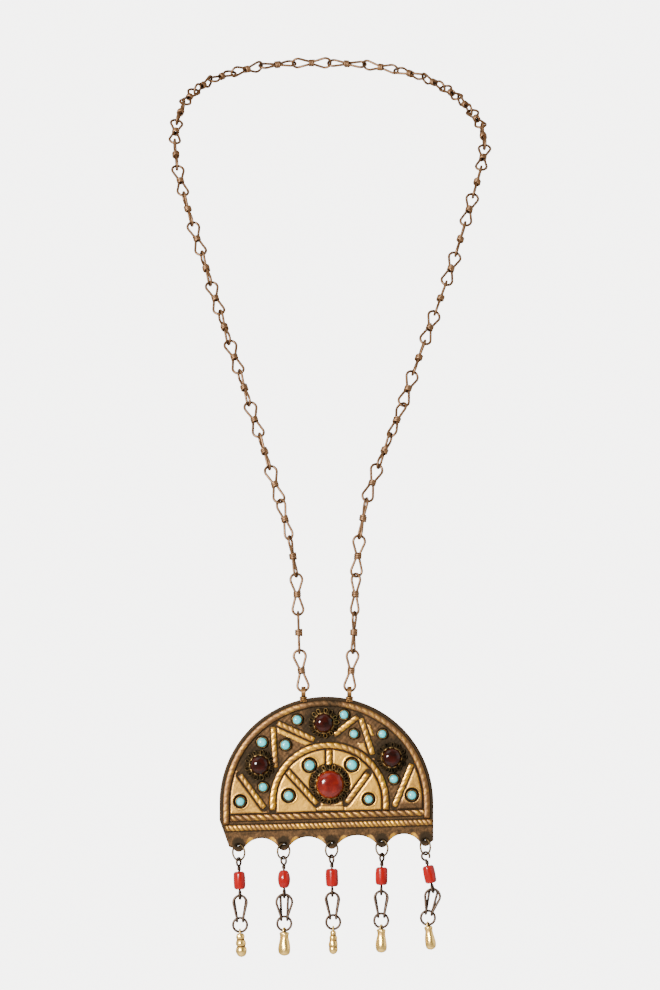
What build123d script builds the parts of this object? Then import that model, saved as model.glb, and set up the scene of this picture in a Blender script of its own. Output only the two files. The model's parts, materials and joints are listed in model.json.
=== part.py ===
from build123d import *
from collections import namedtuple
from math import asin, atan2, cos, degrees, hypot, radians, sin, sqrt
import os

# Fringe pendant necklace: a long chain of twisted figure-eight wire links, a half-round brass
# plate with applied wire ropes, cabochons in collets, and five strands that hang from its
# scalloped lower edge. It is stored as it hangs when worn.
# Lengths are in millimetres and angles in degrees. +X is the viewer's right, +Y is towards
# the wearer's back and +Z is up. The origin is the chain's middle at the nape.

# Driving dimensions of the chain
link_wire = 1.1
link_length = 18.4
upper_loop_width = 6.2
lower_loop_width = 5.8
waist_diameter = 3.4
waist_turns = 3
waist_spread = 1.2
waist_groove_share = 0.35
link_gap = 0.2
chain_half_width = 70.0
spacing_rounds = 8

# Driving dimensions of the plate
pendant_depth = 189.5
pendant_drop = 276.0
plate_radius = 45.0
sheet_thickness = 0.9
border_tilt = 1.75
rope_width = 2.7
rope_height = 1.1
strip_width = 2.4
strip_height = 0.8
relief_sink = 0.5

# Driving dimensions of the bails
bail_spacing = 19.3
bail_width = 2.0
bail_bore_radius = 1.6
bail_wall = 0.75
bail_play = 0.7
bail_rise = 5.3
bail_foot_overlap = 2.0

# Driving dimensions of the stones and their settings
turquoise_radius = 1.8
turquoise_rise = 1.6
collet_wall = 0.55
collet_height = 1.5
collet_flare = 0.25
dark_stone_radius = 4.0
dark_stone_rise = 3.2
dark_setting_radius = 6.3
centre_stone_radius = 5.9
centre_stone_rise = 4.0
centre_setting_radius = 8.2
setting_height = 2.0
setting_lip = 0.6
stone_girdle = 0.8
stone_gap = 0.08

# Driving dimensions of the fringe
top_ring_radius = 3.3
top_ring_wire = 0.8
tip_wall = 1.8
eye_radius = 1.7
eye_wire = 0.9
eye_neck = 1.9
bead_diameter = 5.2
bead_length = 7.5
bead_bore_play = 0.15
fold_wire = 0.9
fold_length = 11.8
fold_width = 6.5
fold_foot_width = 3.4
jump_ring_radius = 2.95
jump_ring_wire = 0.95
drop_eye_radius = 1.15
drop_eye_wire = 0.8
drop_length = 9.2
drop_diameter = 4.7
fringe_gap = 0.18

# The chain's route from each bail up to the nape, chosen by hand: its side, as a share of the
# chain's half width, its depth and its drop, as shares of the pendant's
Knot = namedtuple("Knot", "x y z")
left_rise = [
    Knot(-0.163, -0.997, -0.940), Knot(-0.184, -0.992, -0.819), Knot(-0.286, -0.967, -0.705),
    Knot(-0.410, -0.894, -0.607), Knot(-0.537, -0.813, -0.508), Knot(-0.661, -0.719, -0.414),
    Knot(-0.781, -0.626, -0.317), Knot(-0.903, -0.530, -0.216), Knot(-0.951, -0.414, -0.133),
    Knot(-0.877, -0.269, -0.068), Knot(-0.657, -0.111, -0.025), Knot(-0.343, -0.024, -0.004),
]
right_rise = [
    Knot(0.160, -0.998, -0.938), Knot(0.180, -0.998, -0.815), Knot(0.251, -0.984, -0.699),
    Knot(0.399, -0.910, -0.605), Knot(0.539, -0.828, -0.507), Knot(0.679, -0.739, -0.412),
    Knot(0.814, -0.646, -0.315), Knot(0.931, -0.549, -0.217), Knot(0.994, -0.422, -0.137),
    Knot(0.886, -0.278, -0.080), Knot(0.664, -0.116, -0.033), Knot(0.343, -0.025, -0.007),
]

# How far each link is turned from the one below it, from the bail up; the rest are nearly square
left_turns = (0, 90, 105, 60, 60, 60)
right_turns = (14, 60, 60, 60, 90, 90, 60, 60, 60)
square_turns = (90, 96, 85, 98, 83, 93, 86)

# Tables of places, as shares of the plate's radius from its circle's centre
Strip = namedtuple("Strip", "x y end_x end_y")
strips = [
    Strip(-0.806, 0.269, -0.581, -0.040),
    Strip(-0.499, 0.719, -0.477, 0.338),
    Strip(-0.459, 0.754, -0.113, 0.598),
    Strip(0.069, 0.641, 0.295, 0.815),
    Strip(0.321, 0.797, 0.433, 0.459),
    Strip(0.797, 0.373, 0.633, -0.026),
    Strip(0.023, 0.511, 0.023, 0.347),
    Strip(-0.364, 0.303, -0.087, 0.000),
    Strip(0.390, 0.286, 0.187, 0.009),
]
Stone = namedtuple("Stone", "x y size")
turquoises = [
    Stone(-0.272, 0.785, 1.0), Stone(0.165, 0.832, 0.95), Stone(-0.601, 0.575, 1.05),
    Stone(-0.383, 0.550, 1.05), Stone(0.257, 0.654, 0.9), Stone(0.523, 0.652, 0.9),
    Stone(-0.156, 0.359, 1.15), Stone(0.239, 0.364, 1.15), Stone(-0.591, 0.156, 0.95),
    Stone(0.629, 0.232, 0.95), Stone(-0.803, 0.021, 0.95), Stone(-0.352, 0.075, 1.05),
    Stone(0.395, 0.043, 0.9), Stone(0.799, 0.081, 1.0),
]
dark_stones = [
    Stone(-0.624, 0.364, 1.0), Stone(-0.026, 0.754, 1.0), Stone(0.607, 0.433, 1.0),
]
centre_stone = Stone(0.033, 0.182, 1.0)

outer_rope_radius = 0.938
outer_rope_foot = -0.170
inner_arch_x = 0.026
inner_arch_y = 0.017
inner_arch_radius = 0.529
inner_arch_foot = -0.062
upper_border = Strip(-0.905, -0.111, 0.925, -0.111)
lower_border = Strip(-0.955, -0.202, 0.985, -0.202)

# The scalloped edge, as shares of the plate's radius, across and below the tilted border
arch_top = -0.306
arch_foot = -0.391
tip_bottom = -0.427
tip_half_width = 0.051
left_shoulder = -0.155
left_corner_x = -0.910
left_corner_y = -0.405
right_corner_y = -0.345

# The fringe: the tip that each strand hangs from, the turn of each loop about the upright,
# the lean of each piece with its foot to the right, the fold's two widths and the hook's gap
Strand = namedtuple(
    "Strand",
    "tip ring_turn eye_turn foot_turn drop_turn bead_lean fold_lean drop_lean front back gap",
)
strands = [
    Strand(-0.831, -40, 62, 82, 88, 2, 0, 4, 1.0, 1.0, 0),
    Strand(-0.411, 40, -52, 80, 66, 1, 0, 0, 1.15, 0.62, 0),
    Strand(0.038, 40, -62, 85, 84, 1, 2, 0, 1.0, 1.0, 0),
    Strand(0.508, -42, 62, 84, 66, -1, 0, 0, 0.98, 0.98, 0),
    Strand(0.914, -52, 14, 78, 68, 12, -12, 8, 1.1, 0.66, 62),
]

bead_end_share = 0.84
bead_round_share = 0.4
ring_hang_share = 0.75
drop_eye_sink_share = 0.25
drop_profile = [
    # distance from the eye as a share of the drop's length, radius as a share of its own
    (0.00, 0.40), (0.10, 0.62), (0.26, 0.76), (0.40, 0.72), (0.47, 0.60),
    (0.54, 0.78), (0.72, 1.00), (0.88, 0.94), (0.97, 0.62),
]

# Sizes that follow from the driving ones
link_hold = link_wire + link_gap
bail_x = bail_spacing / 2
bail_axis_drop = bail_bore_radius - link_wire / 2 - bail_play
bail_radius = bail_bore_radius + bail_wall
bail_centre_z = -pendant_drop - bail_axis_drop
bail_top_z = bail_centre_z + bail_radius
plate_edge_z = bail_top_z - bail_rise
plate_centre_z = plate_edge_z - sqrt(plate_radius ** 2 - bail_x ** 2)

back = Plane(
    origin=(0, -pendant_depth + sheet_thickness / 2, plate_centre_z),
    x_dir=(1, 0, 0),
    z_dir=(0, -1, 0),
)
front = back.offset(sheet_thickness)
tilt_cos = cos(radians(border_tilt))
tilt_sin = sin(radians(border_tilt))

os.makedirs("parts", exist_ok=True)


def save(name, part):
    """Label a finished piece and write it."""
    part.label = name
    export_step(part, f"parts/{name}.step")


def on_plate(x, y):
    """A place on the plate from its shares of the plate's radius."""
    return plate_radius * x, plate_radius * y


def on_border(across, below):
    """A place on the plate in the tilted lower border's own directions."""
    return on_plate(
        across * tilt_cos - below * tilt_sin,
        across * tilt_sin + below * tilt_cos,
    )


def side_tangent(foot_x, foot_y, centre_y, radius):
    """Where a straight side that rises from its foot meets a loop's round end."""
    reach = hypot(foot_x, centre_y - foot_y)
    heading = atan2(centre_y - foot_y, -foot_x) - asin(radius / reach)
    side = sqrt(reach ** 2 - radius ** 2)
    return foot_x + side * cos(heading), foot_y + side * sin(heading)


def hanging(point, lean):
    """The plane of a piece that hangs from a point with its foot leaning to the right."""
    angle = radians(lean)
    return Plane(
        origin=point,
        x_dir=(cos(angle), 0, sin(angle)),
        z_dir=(-sin(angle), 0, cos(angle)),
    )


def upright(height, turn, start=0):
    """The plane of a loop that stands at a height, turned about the upright; start tips its X up."""
    angle = radians(turn)
    rise = radians(start)
    return Plane(
        origin=(0, 0, height),
        x_dir=(cos(rise) * cos(angle), cos(rise) * sin(angle), sin(rise)),
        z_dir=(sin(angle), -cos(angle), 0),
    )


def figure_eight_link(length):
    """One chain link: two teardrop loops of wire and the turns wound round its waist."""
    waist_height = waist_turns * link_wire
    with BuildPart() as link:
        for width, side in ((upper_loop_width, 1), (lower_loop_width, -1)):
            radius = (width - link_wire) / 2
            end = (length - link_wire) / 2
            foot_x = waist_spread / 2
            foot_y = waist_height / 2 - link_wire
            x, y = side_tangent(foot_x, foot_y, end - radius, radius)
            loop_plane = Plane(origin=(0, 0, 0), x_dir=(side, 0, 0), z_dir=(0, -1, 0))
            with BuildLine(loop_plane) as loop:
                Line((foot_x, foot_y), (x, y))
                ThreePointArc((x, y), (0, end), (-x, y))
                Line((-x, y), (-foot_x, foot_y))
            with BuildSketch(Plane(origin=loop.line @ 0, z_dir=loop.line % 0)):
                Circle(link_wire / 2)
            sweep()
        groove = waist_diameter / 2 - link_wire * waist_groove_share
        heights = [(index - waist_turns / 2) * link_wire for index in range(waist_turns + 1)]
        with BuildSketch(Plane.XZ):
            with BuildLine():
                for low, high in zip(heights, heights[1:]):
                    crest = (waist_diameter / 2, (low + high) / 2)
                    ThreePointArc((groove, low), crest, (groove, high))
                Polyline((groove, heights[-1]), (0, heights[-1]), (0, heights[0]), (groove, heights[0]))
            make_face()
        revolve(axis=Axis.Z)
    return link.part


def joints_along(route, count):
    """Points on the route at equal straight distances from each other."""
    shares = [index / count for index in range(count + 1)]
    for _ in range(spacing_rounds):
        points = [route @ share for share in shares]
        chords = [(b - a).length for a, b in zip(points, points[1:])]
        steps = [(v - u) / chord for u, v, chord in zip(shares, shares[1:], chords)]
        shares = [sum(steps[:index]) / sum(steps) for index in range(count + 1)]
    return [route @ share for share in shares]


def link_planes(joints, turns, ease=0):
    """Planes of the links from the bail up; ease is added to each turn that is nearly square."""
    planes = []
    face = Vector(1, 0, 0)
    for index, (low, high) in enumerate(zip(joints, joints[1:])):
        if index < len(turns):
            turn = turns[index]
        else:
            turn = square_turns[index % len(square_turns)] + ease
        along = (high - low).normalized()
        square_face = face - along * face.dot(along)
        face = square_face.normalized().rotate(Axis((0, 0, 0), along), turn)
        planes.append(Plane(origin=(low + high) * 0.5, x_dir=face, z_dir=along))
    return planes


def raised_bar(points, arc_top, width, height):
    """A half-round bar on the plate: straight, or over an arc between two straight feet."""
    semi = (height + relief_sink) / 2
    centre = front.offset(height - semi)
    with BuildPart() as bar:
        with BuildLine(centre) as path:
            if arc_top is None:
                Line(points[0], points[1])
            else:
                Line(points[0], points[1])
                ThreePointArc(points[1], arc_top, points[2])
                Line(points[2], points[3])
        along = path.line % 0
        across = centre.z_dir.cross(along)
        with BuildSketch(Plane(origin=path.line @ 0, x_dir=across, z_dir=along)):
            Ellipse(width / 2, semi)
        sweep()
    return bar.part


def arched_bar(centre_x, centre_y, radius, feet):
    """A half-round bar over a half circle, with a straight foot at each end."""
    x, y = on_plate(centre_x, centre_y)
    reach = plate_radius * radius
    points = [(x - reach, feet[0]), (x - reach, y), (x + reach, y), (x + reach, feet[1])]
    return raised_bar(points, (x, y + reach), rope_width, rope_height)


def cabochon(radius, rise):
    """A round stone with a straight girdle and a domed top, seated at the origin."""
    with BuildPart() as stone:
        with BuildSketch(Plane.XZ):
            with BuildLine():
                top = (0, stone_girdle + rise)
                side = Polyline(top, (0, 0), (radius, 0), (radius, stone_girdle))
                Spline(side @ 1, top, tangents=((0, 1), (-1, 0)))
            make_face()
        revolve(axis=Axis.Z)
    return stone.part


def bead():
    """A drilled bead with slightly swollen sides, hanging down from the origin."""
    bore = eye_wire / 2 + bead_bore_play
    end = bead_diameter / 2 * bead_end_share
    with BuildPart() as shape:
        with BuildSketch(Plane.XZ):
            with BuildLine():
                Polyline((end, 0), (bore, 0), (bore, -bead_length), (end, -bead_length))
                ThreePointArc(
                    (end, -bead_length), (bead_diameter / 2, -bead_length / 2), (end, 0)
                )
            make_face()
        revolve(axis=Axis.Z)
        rims = shape.edges().filter_by(GeomType.CIRCLE)
        fillet(rims.filter_by(lambda rim: rim.radius > (bore + end) / 2), (end - bore) * bead_round_share)
    return shape.part


def eye_pin(eye_turn, foot_turn, opening):
    """The wire through a bead, with an eye at each end; returns it, the bead's top and its foot."""
    hold = (top_ring_wire + eye_wire) / 2 + fringe_gap
    upper = hold - eye_radius
    bead_top = upper - eye_radius - eye_wire / 2 - eye_neck
    lower = bead_top - bead_length - fringe_gap - eye_wire / 2 - eye_radius
    shank_top = upper - eye_radius
    shank = shank_top - lower - eye_radius
    with BuildPart() as pin:
        with Locations(upright(upper, eye_turn, opening - 90)):
            Torus(eye_radius, eye_wire / 2, major_angle=360 - opening)
        with Locations(upright(lower, foot_turn)):
            Torus(eye_radius, eye_wire / 2)
        with Locations((0, 0, shank_top)):
            Cylinder(eye_wire / 2, shank, align=(Align.CENTER, Align.CENTER, Align.MAX))
    return pin.part, bead_top, lower - eye_radius


def folded_link(front_share, back_share):
    """A long loop folded double over the ring below it; returns it and that ring's top."""
    bore = eye_radius - eye_wire / 2 - fold_wire / 2 - fringe_gap
    layer_top = (fold_wire + fringe_gap) / 2
    layer_foot = (jump_ring_wire + fold_wire) / 2 + fringe_gap
    hold = eye_radius - sqrt(bore ** 2 - layer_top ** 2)
    foot_x = (fold_foot_width - fold_wire) / 2
    foot_z = hold - fold_length + fold_wire + layer_foot
    splay = atan2(layer_foot - layer_top, hold - foot_z)
    with BuildPart() as link:
        for side, share in ((-1, front_share), (1, back_share)):
            radius = (fold_width * share - fold_wire) / 2
            layer = Plane(
                origin=(0, side * layer_foot, foot_z),
                x_dir=(1, 0, 0),
                z_dir=(0, -cos(splay), -side * sin(splay)),
            )
            top = (hold - foot_z) / cos(splay)
            x, y = side_tangent(foot_x, 0, top - radius, radius)
            with BuildLine(layer) as loop:
                Line((foot_x, 0), (x, y))
                ThreePointArc((x, y), (0, top), (-x, y))
                Line((-x, y), (-foot_x, 0))
            with BuildSketch(Plane(origin=loop.line @ 0, z_dir=loop.line % 0)):
                Circle(fold_wire / 2)
            sweep()
        for x in (-foot_x, foot_x):
            bend = Plane(origin=(x, 0, foot_z), x_dir=(0, 1, 0), z_dir=(1, 0, 0))
            with BuildLine(bend) as turn:
                ThreePointArc((-layer_foot, 0), (0, -layer_foot), (layer_foot, 0))
            with BuildSketch(Plane(origin=turn.line @ 0, z_dir=turn.line % 0)):
                Circle(fold_wire / 2)
            sweep()
            with Locations((x, -layer_foot, foot_z), (x, layer_foot, foot_z)):
                Sphere(fold_wire / 2)
    ring_slope = asin(foot_x / jump_ring_radius)
    ring_sag = jump_ring_radius * (1 - cos(ring_slope))
    ring_lift = layer_foot * (1 / cos(ring_slope) - 1)
    return link.part, foot_z + ring_sag + ring_lift


def cast_drop(turn):
    """A cast drop of two swellings under its own eye."""
    hold = (jump_ring_wire + drop_eye_wire) / 2 + fringe_gap
    eye_height = hold - drop_eye_radius
    top = eye_height - drop_eye_radius - drop_eye_wire * drop_eye_sink_share
    outline = [
        (radius * drop_diameter / 2, top - share * drop_length)
        for share, radius in drop_profile
    ]
    with BuildPart() as drop:
        with Locations(upright(eye_height, turn)):
            Torus(drop_eye_radius, drop_eye_wire / 2)
        with BuildSketch(Plane.XZ):
            with BuildLine():
                bottom = (0, top - drop_length)
                Spline(*outline, bottom, tangents=((1, -1), (-1, 0)))
                Polyline(bottom, (0, top), outline[0])
            make_face()
        revolve(axis=Axis.Z)
    return drop.part


# The chain: equal links along its route, as many on the left as on the right
bail_hang = Vector(0, -pendant_depth, -pendant_drop + link_hold / 2)
start = bail_hang + Vector(-bail_x, 0, 0)
finish = bail_hang + Vector(bail_x, 0, 0)
left_knots = [
    (chain_half_width * knot.x, pendant_depth * knot.y, pendant_drop * knot.z) for knot in left_rise
]
right_knots = [
    (chain_half_width * knot.x, pendant_depth * knot.y, pendant_drop * knot.z) for knot in right_rise
]
with BuildLine():
    route = Spline(start, *left_knots, (0, 0, 0), *reversed(right_knots), finish)
link_count = 2 * round(route.length / 2 / (link_length - link_wire - link_hold))
joints = joints_along(route, link_count)
link_reach = (joints[1] - joints[0]).length
link = figure_eight_link(link_reach + link_hold + link_wire)
half = link_count // 2
left_planes = link_planes(joints[: half + 1], left_turns)
right_joints = joints[: half - 1: -1]
right_planes = link_planes(right_joints, right_turns)

# The two sides meet square at the nape, so the right side's free links share what is missing
last = right_planes[-1]
across = left_planes[-1].x_dir
nape_turn = degrees(atan2(last.z_dir.dot(across.cross(last.x_dir)), across.dot(last.x_dir)))
missing = 90 - nape_turn % 180
ease = missing / (len(right_planes) - len(right_turns))
right_planes = link_planes(right_joints, right_turns, ease)

with BuildPart() as chain_left:
    with Locations(*left_planes):
        add(link)
save("chain_left", chain_left.part)

with BuildPart() as chain_right:
    with Locations(*right_planes):
        add(link)
save("chain_right", chain_right.part)

# The plate's relief, made before the plate that it is soldered to
outer_feet = (
    on_border(-outer_rope_radius, outer_rope_foot)[1],
    on_border(outer_rope_radius, outer_rope_foot)[1],
)
inner_feet = (plate_radius * inner_arch_foot, plate_radius * inner_arch_foot)
relief = [
    arched_bar(0, 0, outer_rope_radius, outer_feet),
    arched_bar(inner_arch_x, inner_arch_y, inner_arch_radius, inner_feet),
]
for strip in strips:
    ends = [on_plate(strip.x, strip.y), on_plate(strip.end_x, strip.end_y)]
    relief.append(raised_bar(ends, None, strip_width, strip_height))
for strip in (upper_border, lower_border):
    ends = [on_border(strip.x, strip.y), on_border(strip.end_x, strip.end_y)]
    relief.append(raised_bar(ends, None, rope_width, rope_height))

# The hole in each tip leaves the top ring room to pass through the sheet at its turn
ring_slant = radians(min(abs(strand.ring_turn) for strand in strands))
ring_reach = (sheet_thickness + top_ring_wire * cos(ring_slant)) / 2 / sin(ring_slant)
ring_offset = ring_reach * cos(ring_slant)
ring_hang = top_ring_wire * ring_hang_share
tip_hole_radius = hypot(ring_offset, ring_hang) + top_ring_wire / 2 + fringe_gap
tip_hole_height = plate_radius * tip_bottom + tip_wall + tip_hole_radius
tip_holes = [on_border(strand.tip, tip_hole_height / plate_radius) for strand in strands]

with BuildPart() as pendant_plate:
    with BuildSketch(back):
        with BuildLine():
            left_side = Line(on_plate(-1, left_shoulder), on_plate(-1, 0))
            ThreePointArc(left_side @ 1, on_plate(0, 1), on_plate(1, 0))
            Line(on_plate(1, 0), on_plate(1, right_corner_y))
            edge = on_plate(1, right_corner_y)
            for index, strand in reversed(list(enumerate(strands))):
                right = on_border(strand.tip + tip_half_width, arch_foot)
                left = on_border(strand.tip - tip_half_width, arch_foot)
                if index == len(strands) - 1:
                    Line(edge, right)
                else:
                    middle = (strand.tip + strands[index + 1].tip) / 2
                    ThreePointArc(edge, on_border(middle, arch_top), right)
                ThreePointArc(right, on_border(strand.tip, tip_bottom), left)
                edge = left
            left_corner = on_plate(left_corner_x, left_corner_y)
            Line(edge, left_corner)
            Line(left_corner, left_side @ 0)
        make_face()
        with Locations(*tip_holes):
            Circle(tip_hole_radius, mode=Mode.SUBTRACT)
    extrude(amount=sheet_thickness)
    add(relief)
    for stone in turquoises:
        radius = turquoise_radius * stone.size + stone_gap
        with BuildSketch(front.offset(-relief_sink)):
            with Locations(on_plate(stone.x, stone.y)):
                Circle(radius + collet_wall + collet_flare)
        with BuildSketch(front.offset(collet_height)):
            with Locations(on_plate(stone.x, stone.y)):
                Circle(radius + collet_wall)
        loft()
    cups = [(stone, dark_stone_radius, dark_setting_radius) for stone in dark_stones]
    cups.append((centre_stone, centre_stone_radius, centre_setting_radius))
    for stone, radius, foot in cups:
        with BuildSketch(front.offset(-relief_sink)):
            with Locations(on_plate(stone.x, stone.y)):
                Circle(foot)
        with BuildSketch(front.offset(setting_height)):
            with Locations(on_plate(stone.x, stone.y)):
                Circle(radius + stone_gap + setting_lip)
        loft()
    for stone in turquoises:
        with BuildSketch(front.offset(collet_height)):
            with Locations(on_plate(stone.x, stone.y)):
                Circle(turquoise_radius * stone.size + stone_gap)
        extrude(amount=-stone_girdle, mode=Mode.SUBTRACT)
    for stone, radius, foot in cups:
        with BuildSketch(front.offset(setting_height)):
            with Locations(on_plate(stone.x, stone.y)):
                Circle(radius + stone_gap)
        extrude(amount=-stone_girdle, mode=Mode.SUBTRACT)
    for side in (-1, 1):
        bail = Plane(
            origin=(side * bail_x, -pendant_depth, bail_centre_z), x_dir=(0, 1, 0), z_dir=(1, 0, 0)
        )
        foot = bail_rise - bail_radius + bail_foot_overlap
        with BuildSketch(bail):
            Circle(bail_radius)
            with Locations((0, -foot / 2)):
                Rectangle(sheet_thickness + 2 * bail_wall, foot)
            Circle(bail_bore_radius, mode=Mode.SUBTRACT)
        extrude(amount=bail_width / 2, both=True)
save("pendant_plate", pendant_plate.part)

# The stones, each seated in its own cup
centre_shape = cabochon(centre_stone_radius, centre_stone_rise)
dark_shape = cabochon(dark_stone_radius, dark_stone_rise)
setting_floor = front.offset(setting_height - stone_girdle + stone_gap)
collet_floor = front.offset(collet_height - stone_girdle + stone_gap)

with BuildPart(setting_floor) as stone_part:
    with Locations(on_plate(centre_stone.x, centre_stone.y)):
        add(centre_shape)
save("centre_stone", stone_part.part)

for number, stone in enumerate(dark_stones, 1):
    with BuildPart(setting_floor) as stone_part:
        with Locations(on_plate(stone.x, stone.y)):
            add(dark_shape)
    save(f"dark_stone_{number}", stone_part.part)

for number, stone in enumerate(turquoises, 1):
    turquoise_shape = cabochon(turquoise_radius * stone.size, turquoise_rise)
    with BuildPart(collet_floor) as stone_part:
        with Locations(on_plate(stone.x, stone.y)):
            add(turquoise_shape)
    save(f"turquoise_{number:02d}", stone_part.part)

# The fringe: each piece hangs from the foot of the one above it
ring_drop = ring_reach ** 2 / (2 * top_ring_radius)
for number, (strand, hole) in enumerate(zip(strands, tip_holes), 1):
    hole_centre = Vector(hole[0], -pendant_depth, plate_centre_z + hole[1])
    ring_centre = hole_centre - Vector(0, 0, ring_hang - ring_drop + top_ring_radius)
    with BuildPart(hanging(ring_centre, 0)) as top_ring:
        with Locations(upright(0, strand.ring_turn)):
            Torus(top_ring_radius, top_ring_wire / 2)
    save(f"top_ring_{number}", top_ring.part)

    pin_plane = hanging(ring_centre - Vector(0, 0, top_ring_radius), strand.bead_lean)
    pin_shape, bead_top, pin_foot = eye_pin(strand.eye_turn, strand.foot_turn, strand.gap)
    with BuildPart(pin_plane) as eye_wire_part:
        add(pin_shape)
    save(f"eye_wire_{number}", eye_wire_part.part)

    bead_shape = bead()
    with BuildPart(pin_plane) as coral_bead:
        with Locations((0, 0, bead_top)):
            add(bead_shape)
    save(f"coral_bead_{number}", coral_bead.part)

    fold_plane = hanging(pin_plane.from_local_coords((0, 0, pin_foot)), strand.fold_lean)
    fold_shape, fold_foot = folded_link(strand.front, strand.back)
    with BuildPart(fold_plane) as folded:
        add(fold_shape)
    save(f"folded_link_{number}", folded.part)

    with BuildPart(fold_plane) as jump_ring:
        with Locations(upright(fold_foot - jump_ring_radius, 0)):
            Torus(jump_ring_radius, jump_ring_wire / 2)
    save(f"jump_ring_{number}", jump_ring.part)

    jump_centre = fold_plane.from_local_coords((0, 0, fold_foot - jump_ring_radius))
    drop_plane = hanging(jump_centre - Vector(0, 0, jump_ring_radius), strand.drop_lean)
    drop_shape = cast_drop(strand.drop_turn)
    with BuildPart(drop_plane) as brass_drop:
        add(drop_shape)
    save(f"brass_drop_{number}", brass_drop.part)

print(f"{link_count} links, reach {link_reach:.3f}, route {route.length:.1f}")
print(f"plate centre z {plate_centre_z:.2f}, tip hole radius {tip_hole_radius:.2f}")
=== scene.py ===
import json
from math import asin, atan2, ceil, cos, hypot, pi, radians, sin, sqrt, tau

import bmesh
import bpy
import numpy as np
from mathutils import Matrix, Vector
from mathutils.geometry import delaunay_2d_cdt


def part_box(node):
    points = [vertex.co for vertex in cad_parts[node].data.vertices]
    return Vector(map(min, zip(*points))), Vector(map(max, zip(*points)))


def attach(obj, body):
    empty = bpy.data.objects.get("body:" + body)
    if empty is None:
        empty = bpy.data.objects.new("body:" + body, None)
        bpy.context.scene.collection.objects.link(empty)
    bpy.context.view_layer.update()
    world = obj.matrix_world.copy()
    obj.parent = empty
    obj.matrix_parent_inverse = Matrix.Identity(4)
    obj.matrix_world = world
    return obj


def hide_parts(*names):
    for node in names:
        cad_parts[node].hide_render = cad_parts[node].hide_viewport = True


# Fringe pendant necklace: a chain of twisted figure-eight wire links, a half-round plate of aged
# brass with applied twisted wire, cabochons in their settings, and five hanging strands.
# Lengths are in metres; MM turns a size in millimetres into metres.
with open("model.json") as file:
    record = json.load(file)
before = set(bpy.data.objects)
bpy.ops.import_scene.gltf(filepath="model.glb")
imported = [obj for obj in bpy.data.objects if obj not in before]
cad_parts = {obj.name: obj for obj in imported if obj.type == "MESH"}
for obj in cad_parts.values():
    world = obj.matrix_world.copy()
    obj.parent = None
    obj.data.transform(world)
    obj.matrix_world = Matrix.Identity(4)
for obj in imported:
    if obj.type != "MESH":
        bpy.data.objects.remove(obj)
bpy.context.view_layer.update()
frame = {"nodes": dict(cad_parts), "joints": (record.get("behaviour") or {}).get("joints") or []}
MM = 0.001

# Sizes repeated from the solid model. The chain
link_wire = 1.1 * MM
link_widths = (6.2 * MM, 5.8 * MM)
waist_diameter = 3.4 * MM
waist_turns = 3

# The plate, its wires and its bails
sheet_thickness = 0.9 * MM
border_tilt = radians(1.75)
rope_size = (2.7 * MM, 1.1 * MM)
strip_size = (2.4 * MM, 0.8 * MM)
tip_hole_radius = 1.66 * MM
tip_wall = 1.8 * MM
bail_width = 2.0 * MM
bail_bore_radius = 1.6 * MM
bail_wall = 0.75 * MM
bail_play = 0.7 * MM
bail_spacing = 19.3 * MM
bail_rise = 5.3 * MM

# The stones' cups
collet_wall = 0.55 * MM
collet_height = 1.5 * MM
collet_flare = 0.25 * MM
setting_height = 2.0 * MM
stone_gap = 0.08 * MM
dark_setting_radius = 6.3 * MM
centre_setting_radius = 8.2 * MM

# The fringe
top_ring_radius = 3.3 * MM
top_ring_wire = 0.8 * MM
eye_radius = 1.7 * MM
eye_wire = 0.9 * MM
bead_diameter = 5.2 * MM
bead_bore = 0.6 * MM
fold_wire = 0.9 * MM
fold_width = 6.5 * MM
fold_foot_width = 3.4 * MM
jump_ring_radius = 2.95 * MM
jump_ring_wire = 0.95 * MM
fringe_gap = 0.18 * MM
drop_eye_radius = 1.15 * MM
drop_eye_wire = 0.8 * MM

# Radii of the fringe's wires, a little more than half of the solid ones' width
ring_wire_radius = top_ring_wire * 0.54
eye_wire_radius = eye_wire * 0.55
fold_wire_radius = fold_wire * 0.6
jump_wire_radius = jump_ring_wire * 0.56
neck_wire_radius = 0.22 * MM

# Shares of the plate's radius. The strips: x, y and the other end's x, y
strips = [
    (-0.806, 0.269, -0.581, -0.040),
    (-0.499, 0.719, -0.477, 0.338),
    (-0.459, 0.754, -0.113, 0.598),
    (0.069, 0.641, 0.295, 0.815),
    (0.321, 0.797, 0.433, 0.459),
    (0.797, 0.373, 0.633, -0.026),
    (0.023, 0.511, 0.023, 0.347),
    (-0.364, 0.303, -0.087, 0.000),
    (0.390, 0.286, 0.187, 0.009),
]
outer_rope_radius = 0.938
outer_rope_foot = -0.170
inner_arch = (0.026, 0.017, 0.529, -0.062)
upper_border = (-0.905, -0.111, 0.925)
lower_border = (-0.955, -0.202, 0.985)
arch_top = -0.306
arch_foot = -0.391
tip_bottom = -0.427
tip_half_width = 0.051
left_shoulder = -0.155
left_corner = (-0.910, -0.405)
right_corner_y = -0.345
tips = [-0.831, -0.411, 0.038, 0.508, 0.914]
centre_stone_share = (0.033, 0.182)
ledge_corners = ((-0.093, -0.066), (0.165, -0.020))
high_right_top = 0.57
chip_foot, chip_top = 0.64, 0.735

# The relief of the sheet's front, which the solid model leaves plain
panel_rise = 0.38 * MM
turned_line_rise = 0.22 * MM
turned_line_reach = 1.55 * MM
ledge_groove = 0.2 * MM
edge_fall = 0.32 * MM
edge_round = 0.28 * MM
bevel_reach = 1.2 * MM
bevel_from_tip = 4.5 * MM
grit_height = 0.05 * MM
dent_height = 0.025 * MM
high_left_reach = 2.5 * MM
high_right_reach = 3.2 * MM
chip_reach = 1.7 * MM

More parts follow.
